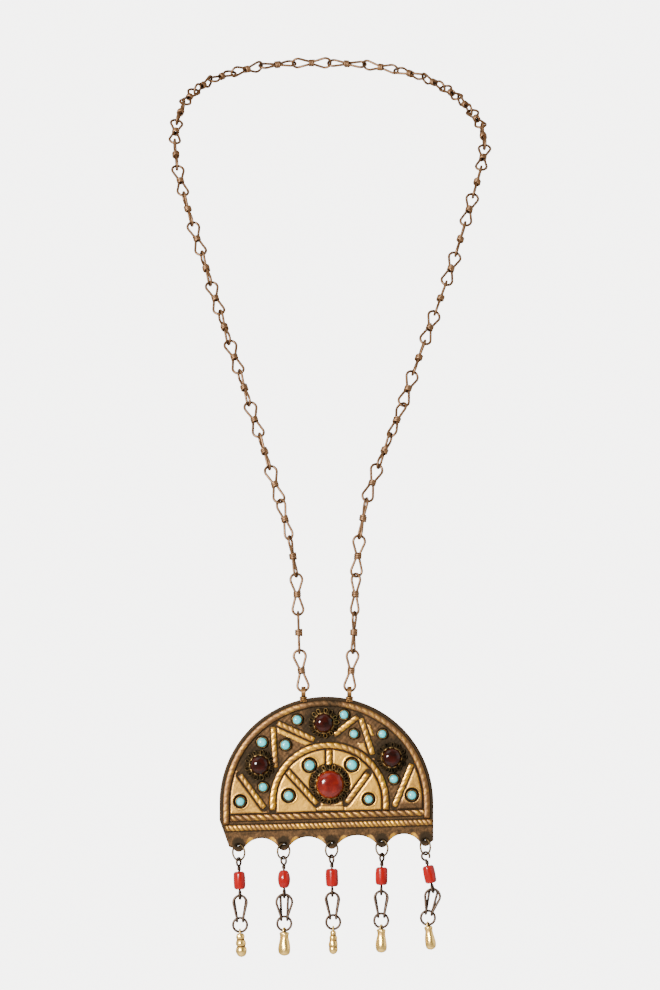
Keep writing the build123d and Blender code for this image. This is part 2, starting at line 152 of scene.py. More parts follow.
# The beads: lean, how much of the middle's radius the ends keep, and size
bead_shapes = [
    (2, 0.90, 0.99), (1, 0.62, 1.04), (1, 0.94, 1.02), (-1, 0.91, 0.99), (12, 0.92, 1.0),
]

# The pins through the beads: lean, the turn of each eye about the upright, and the hook's gap
pin_shapes = [
    (2, 62, 82, 0), (1, -52, 80, 0), (1, -62, 85, 0), (-1, 62, 84, 0), (12, 14, 78, 62),
]
top_ring_turns = (-40, 40, 40, -42, -52)

# The folded links: lean, and the widths of the front and back layers as shares of the greatest
fold_shapes = [
    (0, 1.0, 0.88), (0, 1.15, 0.62), (2, 1.0, 0.9), (0, 0.98, 0.87), (-12, 1.1, 0.66),
]

# The drops' outlines: share of the length from the eye, and share of the greatest radius
lobed = [
    (0.0, 0.50), (0.07, 0.72), (0.16, 0.78), (0.25, 0.66), (0.33, 0.86), (0.45, 0.92),
    (0.54, 0.74), (0.62, 0.94), (0.74, 1.0), (0.84, 0.88), (0.91, 0.74), (0.96, 0.50), (1.0, 0.02),
]
pear = [
    (0.0, 0.66), (0.06, 0.80), (0.13, 0.72), (0.22, 0.70), (0.38, 0.82), (0.56, 0.95),
    (0.72, 1.0), (0.86, 0.92), (0.95, 0.64), (1.0, 0.02),
]
slim = [
    (0.0, 0.46), (0.09, 0.68), (0.18, 0.62), (0.28, 0.86), (0.40, 0.82), (0.48, 0.90),
    (0.60, 1.0), (0.68, 0.92), (0.78, 0.98), (0.90, 0.80), (0.97, 0.45), (1.0, 0.02),
]

# The drops: lean, turn of the eye, greatest width, share of it from front to back, and outline
drop_shapes = [
    (4, 88, 4.7 * MM, 0.88, lobed), (0, 66, 5.3 * MM, 0.84, pear), (0, 84, 3.9 * MM, 0.9, slim),
    (0, 66, 4.9 * MM, 0.84, pear), (8, 68, 4.6 * MM, 0.88, pear),
]

# Where the plate is, read from the frame
plate_low, plate_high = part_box("pendant_plate")
plate_radius = (plate_high.x - plate_low.x) / 2
plate_x = (plate_high.x + plate_low.x) / 2
hinge = Vector(frame["joints"][0]["pos_m"])
front_y = hinge.y - sheet_thickness / 2
stone_low, stone_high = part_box("centre_stone")
plate_z = (stone_low.z + stone_high.z) / 2 - centre_stone_share[1] * plate_radius
turquoises = sorted(name for name in frame["nodes"] if name.startswith("turquoise_"))
dark_stones = sorted(name for name in frame["nodes"] if name.startswith("dark_stone_"))
chance = np.random.default_rng(7)


class Value:
    """A number that changes over a surface; arithmetic on it adds Math nodes."""

    def __init__(self, finish, socket):
        self.finish = finish
        self.socket = socket

    def reckon(self, operation, *others):
        """One Math node on the given values."""
        return self.finish.node("ShaderNodeMath", {"operation": operation}, 0, *enumerate(others))

    def __add__(self, other):
        return self.reckon("ADD", self, other)

    def __sub__(self, other):
        return self.reckon("SUBTRACT", self, other)

    def __rsub__(self, other):
        return self.reckon("SUBTRACT", other, self)

    def __mul__(self, other):
        return self.reckon("MULTIPLY", self, other)

    __radd__ = __add__
    __rmul__ = __mul__

    def at_least(self, other):
        return self.reckon("MAXIMUM", self, other)

    def between(self, low, high):
        """0 below low, 1 above high and smooth in between."""
        settings = {"interpolation_type": "SMOOTHSTEP", "clamp": True}
        return self.finish.node(
            "ShaderNodeMapRange", settings, 0,
            ("Value", self), ("From Min", low), ("From Max", high),
        )


def opaque(shade):
    """A shade of red, green and blue with the fourth number that a colour socket takes."""
    return shade if isinstance(shade, Value) else (*shade, 1.0)


class Finish:
    """One material, made of nodes."""

    def __init__(self, name):
        self.material = bpy.data.materials.new(name)
        self.material.use_nodes = True
        self.tree = self.material.node_tree
        self.tree.nodes.clear()
        coordinates = self.tree.nodes.new("ShaderNodeTexCoord")
        self.place = Value(self, coordinates.outputs["Object"])

    def node(self, kind, settings, output, *inputs):
        """Add a node: its settings first, then a value or a link for each socket named."""
        node = self.tree.nodes.new(kind)
        for name, value in settings.items():
            setattr(node, name, value)
        for socket, value in inputs:
            target = node.inputs[socket]
            if isinstance(value, Value):
                self.tree.links.new(value.socket, target)
            else:
                target.default_value = value
        return Value(self, node.outputs[output])

    def noise(self, size, detail=3.0, roughness=0.55, stretch=None):
        """Cloudy noise whose patches are about size across."""
        place = self.place
        if stretch:
            settings = {"operation": "MULTIPLY"}
            place = self.node("ShaderNodeVectorMath", settings, 0, (0, place), (1, stretch))
        return self.node(
            "ShaderNodeTexNoise", {}, "Fac",
            ("Vector", place), ("Scale", 1 / size), ("Detail", detail), ("Roughness", roughness),
        )

    def cells(self, size, feature="F1"):
        """Cell noise: the distance to the nearest of points about size apart, or to an edge."""
        return self.node(
            "ShaderNodeTexVoronoi", {"feature": feature}, "Distance",
            ("Vector", self.place), ("Scale", 1 / size),
        )

    def attribute(self, name):
        """A number stored at each point of the mesh."""
        return self.node("ShaderNodeAttribute", {"attribute_name": name}, "Fac")

    def shelter(self, reach):
        """1 in the open and towards 0 in creases that are about as deep as reach."""
        return self.node("ShaderNodeAmbientOcclusion", {"samples": 8}, "AO", ("Distance", reach))

    def mix(self, share, first, second):
        """One colour turning into another."""
        return self.node(
            "ShaderNodeMix", {"data_type": "RGBA"}, 2,
            (0, share), (6, opaque(first)), (7, opaque(second)),
        )

    def bump(self, height, distance):
        """The small unevenness of a surface, distance deep."""
        return self.node("ShaderNodeBump", {}, "Normal", ("Height", height), ("Distance", distance))

    def surface(self, **sockets):
        """Finish with the one shader, whose sockets are named with underscores for spaces."""
        inputs = [(name.replace("_", " "), value) for name, value in sockets.items()]
        shader = self.node("ShaderNodeBsdfPrincipled", {}, "BSDF", *inputs)
        output = self.tree.nodes.new("ShaderNodeOutputMaterial")
        self.tree.links.new(shader.socket, output.inputs["Surface"])
        return self.material


def aged_metal(name, bright, mid, dark, crease, rubbed, polish, rub=None, edge=None):
    """Old metal: dark in its creases, its own colour on faces and rubbed bright on its crowns."""
    finish = Finish(name)
    rub = finish.attribute("rub") if rub is None else rub
    cloud = finish.noise(5 * MM, detail=4.0)
    patch = finish.noise(1.3 * MM, roughness=0.6)
    speck = finish.noise(0.35 * MM, detail=2.0, roughness=0.6)
    in_open = finish.shelter(crease).between(0.35, 0.95)
    spread = (cloud - 0.5) * 0.5 + (patch - 0.5) * 0.5 + (speck - 0.5) * 0.35
    wear = (spread * (0.35 + rub) + rub) * in_open
    face = wear.between(0.08, 0.42)
    crown = wear.between(*rubbed)
    return finish.surface(
        Base_Color=finish.mix(crown, finish.mix(face, dark, mid), bright),
        Roughness=0.62 - face * 0.14 - crown * (0.48 - polish),
        Metallic=face * 0.2 + 0.8,
        Specular_Tint=opaque(edge or bright),
        Normal=finish.bump(speck * 0.6 + patch * 1.6, 0.06 * MM),
    )


def polished_stone(name, light, deep, vein_and_lip_shade_colour, vein_size, vein_share, gloss, coat, shine):
    """A polished stone with cloudy colour and darker veins, and painted shade that darkens it under
    its setting's lip.
    """
    finish = Finish(name)
    cloud = finish.noise(vein_size, detail=4.0, roughness=0.6)
    edge = finish.cells(vein_size * 1.4, "DISTANCE_TO_EDGE")
    body = finish.mix(cloud.between(0.3, 0.7), deep, light)
    veins_and_lip_shade = (1 - edge.between(0.0, 0.09)) * cloud.between(0.35, 0.75) * vein_share
    # Painted shade: where the setting's lip overhangs the stone, ambient occlusion darkens it
    # towards the vein colour.
    veins_and_lip_shade = veins_and_lip_shade.at_least(0.75 - finish.shelter(1.0 * MM).between(0.35, 0.75) * 0.75)
    return finish.surface(
        Base_Color=finish.mix(veins_and_lip_shade, body, vein_and_lip_shade_colour), Roughness=gloss + veins_and_lip_shade * 0.2,
        Specular_IOR_Level=shine, Coat_Weight=coat, Coat_Roughness=0.08,
        Normal=finish.bump(finish.noise(0.9 * MM, detail=2.0), 0.012 * MM),
    )


def coral(name):
    """Red coral: deep and glossy, with faint lengthwise streaks and small pale flecks."""
    finish = Finish(name)
    streak = finish.noise(1.1 * MM, roughness=0.6, stretch=(1.0, 1.0, 0.22))
    cloud = finish.noise(3.5 * MM)
    fleck = 1 - finish.cells(1.5 * MM).between(0.05, 0.16)
    body = finish.mix(streak.between(0.3, 0.7), (0.23, 0.001, 0.0005), (0.33, 0.002, 0.0008))
    pale = fleck * cloud.between(0.5, 0.7) * 0.35
    return finish.surface(
        Base_Color=finish.mix(pale, body, (0.45, 0.02, 0.008)), Roughness=0.24 + fleck * 0.2,
        Specular_IOR_Level=0.3, Coat_Weight=0.15, Coat_Roughness=0.08,
        Normal=finish.bump(streak * 0.5 + finish.noise(0.6 * MM, detail=2.0), 0.02 * MM),
    )


def floor_finish(name):
    """Pale matt paper with the faintest unevenness."""
    finish = Finish(name)
    tint = finish.mix(finish.noise(0.3), (0.64, 0.63, 0.61), (0.69, 0.68, 0.66))
    return finish.surface(Base_Color=tint, Roughness=0.85)


gold, brown, black = (0.86, 0.44, 0.045), (0.20, 0.099, 0.040), (0.025, 0.018, 0.012)
plate_metal = aged_metal("aged_plate_brass", gold, brown, black, 1.1 * MM, (0.36, 0.86), 0.36)
rope_metal = aged_metal("rubbed_twisted_wire", gold, brown, black, 0.9 * MM, (0.50, 1.0), 0.32)
setting_metal = aged_metal(
    "blackened_setting", (0.34, 0.20, 0.06), (0.075, 0.050, 0.024), (0.012, 0.009, 0.006),
    1.2 * MM, (0.45, 1.0), 0.36,
)
chain_metal = aged_metal(
    "coppery_chain_wire", (0.50, 0.26, 0.12), (0.20, 0.11, 0.057), (0.040, 0.024, 0.016),
    1.4 * MM, (0.45, 0.95), 0.38, edge=(0.06, 0.033, 0.017),
)
ring_metal = aged_metal(
    "light_ring_brass", (0.27, 0.18, 0.085), (0.10, 0.068, 0.033), (0.03, 0.019, 0.012),
    0.8 * MM, (0.35, 0.9), 0.38, rub=0.5, edge=(0.05, 0.034, 0.016),
)
dark_metal = aged_metal(
    "dark_fringe_wire", (0.24, 0.155, 0.10), (0.080, 0.052, 0.035), (0.022, 0.015, 0.011),
    0.8 * MM, (0.45, 1.0), 0.44, rub=0.5, edge=(0.02, 0.014, 0.010),
)
drop_metal = aged_metal(
    "cast_drop_brass", (1.0, 0.66, 0.19), (0.60, 0.32, 0.075), (0.10, 0.050, 0.016),
    0.9 * MM, (0.2, 0.62), 0.24,
)
stone_finishes = {
    "turquoise": polished_stone(
        "pale_turquoise", (0.075, 0.68, 0.72), (0.024, 0.46, 0.51), (0.02, 0.12, 0.11),
        vein_size=1.6 * MM, vein_share=0.4, gloss=0.25, coat=0.25, shine=0.5,
    ),
    "centre_stone": polished_stone(
        "deep_carnelian", (0.17, 0.010, 0.004), (0.08, 0.003, 0.002), (0.025, 0.002, 0.001),
        vein_size=4.0 * MM, vein_share=0.55, gloss=0.14, coat=0.1, shine=0.35,
    ),
    "dark_stone": polished_stone(
        "dark_maroon_stone", (0.034, 0.003, 0.001), (0.008, 0.002, 0.001), (0.003, 0.001, 0.001),
        vein_size=3.0 * MM, vein_share=0.6, gloss=0.10, coat=0.0, shine=0.25,
    ),
}
coral_finish = coral("red_coral")


class Shape:
    """Points, faces and each point's rub, gathered before they become one piece."""

    def __init__(self):
        self.points = []
        self.faces = []
        self.rub = []
        self.count = 0

    def add(self, points, faces, rub=0.5):
        """Add points with the faces between them, and how rubbed they are."""
        points = np.asarray(points, float)
        self.points.append(points)
        self.faces += [[self.count + index for index in face] for face in faces]
        self.rub.append(np.broadcast_to(np.asarray(rub, float), len(points)))
        self.count += len(points)
        return self

    def wire(self, line, radius, sides, rub, closed=False, side=None, place=None):
        """Add a round wire along a line, and set it in its place."""
        points, faces = tube(line, radius, sides, closed, side)
        return self.add(place(points) if place else points, faces, rub)


def piece(name, shape, finish, body, replaces):
    """One piece of the object, riding on a body and standing for CAD nodes."""
    mesh = bpy.data.meshes.new(name)
    mesh.from_pydata(np.vstack(shape.points).tolist(), [], shape.faces)
    mesh.attributes.new("rub", "FLOAT", "POINT")
    mesh.attributes["rub"].data.foreach_set("value", np.concatenate(shape.rub).astype(np.float32))
    mesh.polygons.foreach_set("use_smooth", [True] * len(mesh.polygons))
    mesh.materials.append(finish)
    mesh.validate()
    made = bpy.data.objects.new(name, mesh)
    bpy.context.scene.collection.objects.link(made)
    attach(made, body)
    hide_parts(*replaces)
    return made


def soldered(name, shape, finish):
    """A piece that is soldered on the sheet, and part of the same solid."""
    return piece(name, shape, finish, "pendant", ["pendant_plate"])


def flipped(faces):
    """The same faces, looking the other way."""
    return [face[::-1] for face in faces]


def unit(vectors):
    """The same directions, each one long."""
    return vectors / np.linalg.norm(vectors, axis=-1, keepdims=True)


def turns(count):
    """Angles in equal steps all the way round."""
    return np.arange(count) * tau / count


def smooth_step(low, high, values):
    """0 below low, 1 above high and smooth in between."""
    share = np.clip((values - low) / (high - low), 0, 1)
    return share * share * (3 - 2 * share)


def carried_frames(points, closed, side=None):
    """A side and an up direction at each point of a line, carried along it without twist."""
    if closed:
        tangents = unit(np.roll(points, -1, 0) - np.roll(points, 1, 0))
    else:
        tangents = unit(np.gradient(points, axis=0))
    if side is None:
        side = np.eye(3)[np.argmin(np.abs(tangents[0]))]
    sides = []
    for tangent in tangents:
        side = unit(side - tangent * np.dot(side, tangent))
        sides.append(side)
    sides = np.array(sides)
    ups = np.cross(tangents, sides)
    if closed:
        last = sides[-1] - tangents[0] * np.dot(sides[-1], tangents[0])
        slip = atan2(np.dot(last, ups[0]), np.dot(last, sides[0]))
        turn = -slip * np.arange(len(points)) / len(points)
        cosines, sines = np.cos(turn)[:, None], np.sin(turn)[:, None]
        sides, ups = sides * cosines + ups * sines, ups * cosines - sides * sines
    return tangents, sides, ups


def grid_faces(rows, columns, closed):
    """Faces of a grid of points whose columns go round. Its rows close too or are capped."""
    faces = []
    for row in range(rows if closed else rows - 1):
        low, high = row * columns, (row + 1) % rows * columns
        for column in range(columns):
            after = (column + 1) % columns
            faces.append([low + column, low + after, high + after, high + column])
    if not closed:
        faces.append(list(range(columns))[::-1])
        faces.append(list(range((rows - 1) * columns, rows * columns)))
    return faces


def tube(line, radius, sides, closed, side=None):
    """A round wire along a line. An open one has rounded ends."""
    line = np.asarray(line, float)
    tangents, across, up = carried_frames(line, closed, side)
    radii = np.full(len(line), float(radius))
    if not closed:
        bends = np.radians([35, 65, 86])
        back, narrow = radius * np.sin(bends), radius * np.cos(bends)
        head = line[0] - tangents[0] * back[::-1, None]
        tail = line[-1] + tangents[-1] * back[:, None]
        line = np.vstack([head, line, tail])
        radii = np.concatenate([narrow[::-1], radii, narrow])
        ends = ((len(bends), len(bends)), (0, 0))
        across, up = np.pad(across, ends, "edge"), np.pad(up, ends, "edge")
    angles = turns(sides)[None, :, None]
    ring = across[:, None] * np.cos(angles) + up[:, None] * np.sin(angles)
    points = (line[:, None] + ring * radii[:, None, None]).reshape(-1, 3)
    return points, grid_faces(len(line), sides, closed)


def lathe(profile, sides, wobble, closed):
    """A profile of (radius, height) turned about Z, closed on itself or capped at both ends."""
    angles = turns(sides)
    rows = []
    for index, (radius, height) in enumerate(profile):
        scale, lift = wobble(index, angles)
        across, along = radius * scale * np.cos(angles), radius * scale * np.sin(angles)
        rows.append(np.stack([across, along, height + lift], 1))
    return np.vstack(rows), grid_faces(len(profile), sides, closed)


def smooth_curve(points, count):
    """Points on one smooth curve through all the given points."""
    points = np.asarray(points, float)
    spans = np.linalg.norm(np.diff(points, axis=0), axis=1)
    knots = np.concatenate([[0], np.cumsum(np.sqrt(spans))])
    slopes = np.gradient(points, knots, axis=0)
    samples = []
    for at in np.linspace(0, knots[-1], count):
        span = min(np.searchsorted(knots, at, "right") - 1, len(points) - 2)
        width = knots[span + 1] - knots[span]
        t = (at - knots[span]) / width
        samples.append(
            points[span] * (1 + 2 * t) * (1 - t) ** 2 + slopes[span] * width * t * (1 - t) ** 2
            + points[span + 1] * t * t * (3 - 2 * t) + slopes[span + 1] * width * t * t * (t - 1)
        )
    return np.array(samples)


def on_plate(x, y):
    """A place on the plate from its shares of the plate's radius."""
    return plate_radius * x, plate_radius * y


def on_border(across, below):
    """A place on the plate in the tilted lower border's own directions."""
    return on_plate(
        across * cos(border_tilt) - below * sin(border_tilt),
        across * sin(border_tilt) + below * cos(border_tilt),
    )


def raised(places, height):
    """Places on the plate, with their height above its front face, as points of the frame."""
    places = np.asarray(places, float)
    heights = np.broadcast_to(np.asarray(height, float), len(places))
    return np.stack([plate_x + places[:, 0], front_y - heights, plate_z + places[:, 1]], 1)


def arc_between(start, through, end, step):
    """Places along the circle through three places, without the first."""
    (ax, ay), (bx, by), (cx, cy) = start, through, end
    twice = 2 * (ax * (by - cy) + bx * (cy - ay) + cx * (ay - by))
    a2, b2, c2 = ax * ax + ay * ay, bx * bx + by * by, cx * cx + cy * cy
    x = (a2 * (by - cy) + b2 * (cy - ay) + c2 * (ay - by)) / twice
    y = (a2 * (cx - bx) + b2 * (ax - cx) + c2 * (bx - ax)) / twice
    radius = hypot(ax - x, ay - y)
    first = atan2(ay - y, ax - x)
    middle = (atan2(by - y, bx - x) - first) % tau
    whole = (atan2(cy - y, cx - x) - first) % tau
    if middle > whole:
        whole -= tau
    count = max(2, ceil(abs(whole) * radius / step))
    angles = [first + whole * i / count for i in range(1, count + 1)]
    return [(x + radius * cos(angle), y + radius * sin(angle)) for angle in angles]


def run_between(start, end, step):
    """Places along a straight line, without the first."""
    (ax, ay), (bx, by) = start, end
    count = max(1, ceil(hypot(bx - ax, by - ay) / step))
    shares = [i / count for i in range(1, count + 1)]
    return [(ax + (bx - ax) * share, ay + (by - ay) * share) for share in shares]


def plate_outline(step):
    """The sheet's edge, clockwise from the left shoulder, with its scallops and tips."""
    places = [on_plate(-1, left_shoulder)]
    places += run_between(places[-1], on_plate(-1, 0), step)
    places += arc_between(places[-1], on_plate(0, 1), on_plate(1, 0), step)
    places += run_between(places[-1], on_plate(1, right_corner_y), step)
    for index in reversed(range(len(tips))):
        right = on_border(tips[index] + tip_half_width, arch_foot)
        left = on_border(tips[index] - tip_half_width, arch_foot)
        if index == len(tips) - 1:
            places += run_between(places[-1], right, step)
        else:
            middle = on_border((tips[index] + tips[index + 1]) / 2, arch_top)
            places += arc_between(places[-1], middle, right, step)
        places += arc_between(right, on_border(tips[index], tip_bottom), left, step)
    places += run_between(places[-1], on_plate(*left_corner), step)
    places += run_between(places[-1], on_plate(-1, left_shoulder), step)
    return places[:-1]


def line_distance(places, start, end):
    """Distance from each place to a straight line between two places."""
    start, end = np.array(start), np.array(end)
    along = end - start
    share = np.clip(((places - start) @ along) / (along @ along), 0, 1)
    return np.linalg.norm(places - start - share[:, None] * along, axis=1)


def arch_distance(places, x, y, radius, foot):
    """Distance from each place to a half circle with straight legs down to foot."""
    ring = np.abs(np.linalg.norm(places - [x, y], axis=1) - radius)
    legs = [line_distance(places, (leg, y), (leg, foot)) for leg in (x - radius, x + radius)]
    return np.where(places[:, 1] >= y, ring, np.minimum(*legs))


def beyond(places, line, sign):
    """Whether places lie on one side of a line."""
    (ax, ay), (bx, by) = line
    return sign * ((bx - ax) * (places[:, 1] - ay) - (by - ay) * (places[:, 0] - ax)) > 0


def stone_place(node):
    """Where a stone sits on the plate, and its radius."""
    low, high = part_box(node)
    return (low.x + high.x) / 2 - plate_x, (low.z + high.z) / 2 - plate_z, (high.x - low.x) / 2


# The plate's lines in metres, from its middle
strip_lines = [(on_plate(x, y), on_plate(end_x, end_y)) for x, y, end_x, end_y in strips]
outer_foot = on_border(outer_rope_radius, outer_rope_foot)[1]
outer_arch = (0, 0, plate_radius * outer_rope_radius, outer_foot)
inner_x, inner_y, inner_radius, inner_foot = (plate_radius * share for share in inner_arch)
border_lines = [
    (on_border(left, below), on_border(right, below))
    for left, below, right in (upper_border, lower_border)
]
tip_hole_height = plate_radius * tip_bottom + tip_wall + tip_hole_radius
tip_holes = [on_border(tip, tip_hole_height / plate_radius) for tip in tips]


def ledge_line(places):
    """The groove round the narrow ledge under the centre stone, 1 in its middle."""
    (left, low), (right, high) = [on_plate(*corner) for corner in ledge_corners]
    across = np.abs(places[:, 0] - (left + right) / 2) - (right - left) / 2
    up = np.abs(places[:, 1] - (low + high) / 2) - (high - low) / 2
    return 1 - smooth_step(0.1 * MM, 0.38 * MM, np.abs(np.maximum(across, up)))


def gold_panels(places):
    """Which places a raised bright panel covers, and how much of its brightness each keeps."""
    x, y = places.T
    left, right = x < inner_x, x > inner_x
    first, second, third, fourth, fifth, sixth = strip_lines[:6]
    from_third = line_distance(places, *third) - strip_size[0] / 2
    from_fifth = line_distance(places, *fifth) - strip_size[0] / 2
    in_arch = np.linalg.norm(places - [inner_x, inner_y], axis=1) < inner_radius
    in_arch |= (y < inner_y) & (np.abs(x - inner_x) < inner_radius)
    low_left = beyond(places, first, -1) & left
    high_left = beyond(places, second, 1) & beyond(places, third, -1) & left
    high_left &= from_third < high_left_reach
    high_right = beyond(places, fourth, -1) & beyond(places, fifth, -1) & right
    high_right &= (from_fifth < high_right_reach) & (y < plate_radius * high_right_top)
    chip = beyond(places, fifth, 1) & (from_fifth < chip_reach)
    chip &= (y > plate_radius * chip_foot) & (y < plate_radius * chip_top)
    low_right = beyond(places, sixth, 1) & right
    bright = 1 - 0.75 * low_right * (1 - smooth_step(-1.0 * MM, 3.0 * MM, y))
    bright *= 1 - 0.2 * (low_left | low_right | high_right)
    return in_arch | low_left | high_left | high_right | low_right | chip, bright


def stone_surrounds(places):
    """What is clear of the stones' cups, what is far from the dark stones, and the turned line
    round each small stone."""
    clear, far, turned_line = np.ones(len(places)), np.ones(len(places)), np.zeros(len(places))
    for node in dark_stones + ["centre_stone"] + turquoises:
        x, y, radius = stone_place(node)
        away = np.hypot(places[:, 0] - x, places[:, 1] - y)
        if node in dark_stones:
            far *= smooth_step(6 * MM, 11 * MM, away)
            clear *= smooth_step(0, 0.5 * MM, away - dark_setting_radius)
        elif node in turquoises:
            clear *= smooth_step(0.95 * MM, 1.35 * MM, away - radius)
            beside = np.abs(away - radius - turned_line_reach)
            turned_line = np.maximum(turned_line, 1 - smooth_step(0, 0.3 * MM, beside))
        else:
            clear *= smooth_step(0.1 * MM, 0.8 * MM, away - centre_setting_radius)
    return clear, far, turned_line


def plate_relief(places, edge):
    """Height and rub of the sheet's front: raised bright panels, dark grounds and grooves."""
    places = np.asarray(places, float)
    x, y = places.T
    arches = (outer_arch, (inner_x, inner_y, inner_radius, inner_foot))
    to_wires = [arch_distance(places, *arch) - rope_size[0] / 2 for arch in arches]
    to_wires += [line_distance(places, *line) - rope_size[0] / 2 for line in border_lines]
    to_wires += [line_distance(places, *line) - strip_size[0] / 2 for line in strip_lines]
    nearest = np.min(to_wires, axis=0)

    outer = (np.linalg.norm(places, axis=1) > outer_arch[2]) | (np.abs(x) > outer_arch[2])
    inside = beyond(places, border_lines[0], 1) & ~outer
    skirt = ~beyond(places, border_lines[1], 1)
    gold_field, bright = gold_panels(places)
    clear, far, turned_line = stone_surrounds(places)
    turned_line *= gold_field & inside
    ledge = ledge_line(places)
    panel = smooth_step(0.35 * MM, 0.8 * MM, nearest) * clear * (gold_field & inside)
    tips_across = np.array(tip_holes)[:, 0]
    from_tips = np.min(np.abs(np.abs(x[:, None] - tips_across) - bevel_from_tip), axis=1)
    scalloped = (x > tips_across.min()) & (x < tips_across.max())
    bevel = skirt * scalloped * (1 - smooth_step(0.2 * MM, 2.7 * MM, from_tips))

    height = panel_rise * panel + turned_line_rise * turned_line - ledge_groove * panel * ledge
    height -= edge_fall * (1 - smooth_step(0.0, 1.0, edge / (edge_round + bevel_reach * bevel)))
    grit = np.sin(x / (0.31 * MM)) * np.sin(y / (0.37 * MM) + 1)
    dents = np.sin(x / (2.3 * MM) + 2) * np.sin(y / (1.9 * MM))
    height += grit_height * grit * (1 - panel) * inside + dent_height * dents * panel

    rub = np.where(skirt, 0.20, np.where(outer, 0.10, np.where(inside, 0.07 + 0.14 * far, 0.22)))
    # Next to every wire the sheet keeps little rub: a dark line that is partly patina in the crease
    # and partly painted shade beside the wire.
    rub = np.maximum(rub * smooth_step(0.0, 0.5 * MM, nearest), panel * 0.76 * bright)
    rub *= 1 - 0.85 * ledge
    # Painted shade of the hole with some patina: the sheet that fills each tip's hole round its
    # slot, and the tip round it, keep little rub and so are dark.
    for hole in tip_holes:
        away = np.linalg.norm(places - hole, axis=1)
        rub *= 0.25 + 0.75 * smooth_step(1.6 * MM, 3.4 * MM, away)
    shine = smooth_step(-0.3 * MM, 0.25 * MM, 0.4 * MM + bevel_reach * bevel - edge)
    rub = np.maximum(np.maximum(rub, 0.75 * turned_line), (0.22 + 0.6 * bevel) * shine)
    return height, rub


def flat_triangles(loops, extra):
    """Triangles that fill the first loop of places but not the others, with extra places."""
    places = [place for loop in loops for place in loop] + list(extra)
    edges = []
    start = 0
    for loop in loops:
        edges += [(start + i, start + (i + 1) % len(loop)) for i in range(len(loop))]
        start += len(loop)
    vectors = [Vector(place) for place in places]
    points, _, faces, _, _, _ = delaunay_2d_cdt(vectors, edges, [], 1, 1e-9)
    places = np.array([tuple(point) for point in points])
    middles = np.array([places[face].mean(axis=0) for face in faces])
    kept = ~np.any([loop_inside(middles, hole) for hole in loops[1:]], axis=0)
    return places, [face for face, keep in zip(faces, kept) if keep]


def loop_inside(places, loop):
    """Whether each place lies inside a closed loop."""
    inside = np.zeros(len(places), bool)
    for (ax, ay), (bx, by) in zip(loop, np.roll(loop, -1, 0)):
        if ay != by:
            crosses = (ay > places[:, 1]) != (by > places[:, 1])
            inside ^= crosses & (places[:, 0] < ax + (places[:, 1] - ay) * (bx - ax) / (by - ay))
    return inside


def loop_distance(places, loops):
    """Distance from each place to the nearest edge of the loops."""
    nearest = np.full(len(places), 1.0)
    for loop in loops:
        for start, end in zip(np.array(loop), np.roll(loop, -1, 0)):
            close = np.abs(places - (start + end) / 2).max(axis=1) < 2.5 * MM
            if close.any():
                distance = line_distance(places[close], start, end)
                nearest[close] = np.minimum(nearest[close], distance)
    return nearest


def tip_hole(count):
    """The slot that the ring hangs in, which is all that is left open of the hole in a tip; the
    sheet that fills the rest of the hole is painted dark as the hole's shade.
    """
    across, up = tip_hole_radius * 0.76, tip_hole_radius * 0.25
    below = tip_hole_radius * 0.38
    return [(across * cos(angle), up * sin(angle) - below) for angle in turns(count)]


def make_sheet():
    """The brass sheet with its stamped relief, its drilled tips and its plain back."""
    outline = plate_outline(0.45 * MM)
    slot = tip_hole(24)
    loops = [outline] + [[(x + across, y + up) for across, up in slot] for x, y in tip_holes]
    # A grid of places in nearly equal triangles, clear of the edges
    spacing = 0.40 * MM
    row_spacing, clearance = spacing * 0.866, 0.26 * MM
    low, high = np.min(outline, axis=0), np.max(outline, axis=0)
    columns = np.arange(low[0], high[0], spacing)
    rows = np.arange(low[1], high[1], row_spacing)
    grid = np.array([(x + (i % 2) * spacing / 2, y) for i, y in enumerate(rows) for x in columns])
    grid = grid[loop_inside(grid, outline)]
    for hole in loops[1:]:
        grid = grid[~loop_inside(grid, hole)]
    grid = grid[loop_distance(grid, loops) > clearance]
    places, faces = flat_triangles(loops, grid.tolist())
    height, rub = plate_relief(places, loop_distance(places, loops))
    shape = Shape().add(raised(places, height), faces, rub)

    back_places, back_faces = flat_triangles(loops, [])
    shape.add(raised(back_places, -sheet_thickness), flipped(back_faces), 0.36)
    for loop in loops:
        count = len(loop)
        top, _ = plate_relief(loop, np.zeros(count))
        rim = np.vstack([raised(loop, top), raised(loop, -sheet_thickness)])
        walls = [[i, (i + 1) % count, count + (i + 1) % count, count + i] for i in range(count)]
        shape.add(rim, walls, np.repeat([0.2, 0.36], count))
    made = soldered("plate_sheet", shape, plate_metal)
    weld(made, 0.001 * MM, len(shape.faces) - len(faces))


def weld(made, reach, flat):
    """Join points that lie on each other, turn all faces outward and leave the last ones flat."""
    mesh = bmesh.new()
    mesh.from_mesh(made.data)
    mesh.faces.ensure_lookup_table()
    for face in mesh.faces[len(mesh.faces) - flat:]:
        face.smooth = False
    bmesh.ops.remove_doubles(mesh, verts=mesh.verts, dist=reach)
    bmesh.ops.recalc_face_normals(mesh, faces=mesh.faces)
    mesh.to_mesh(made.data)
    mesh.free()


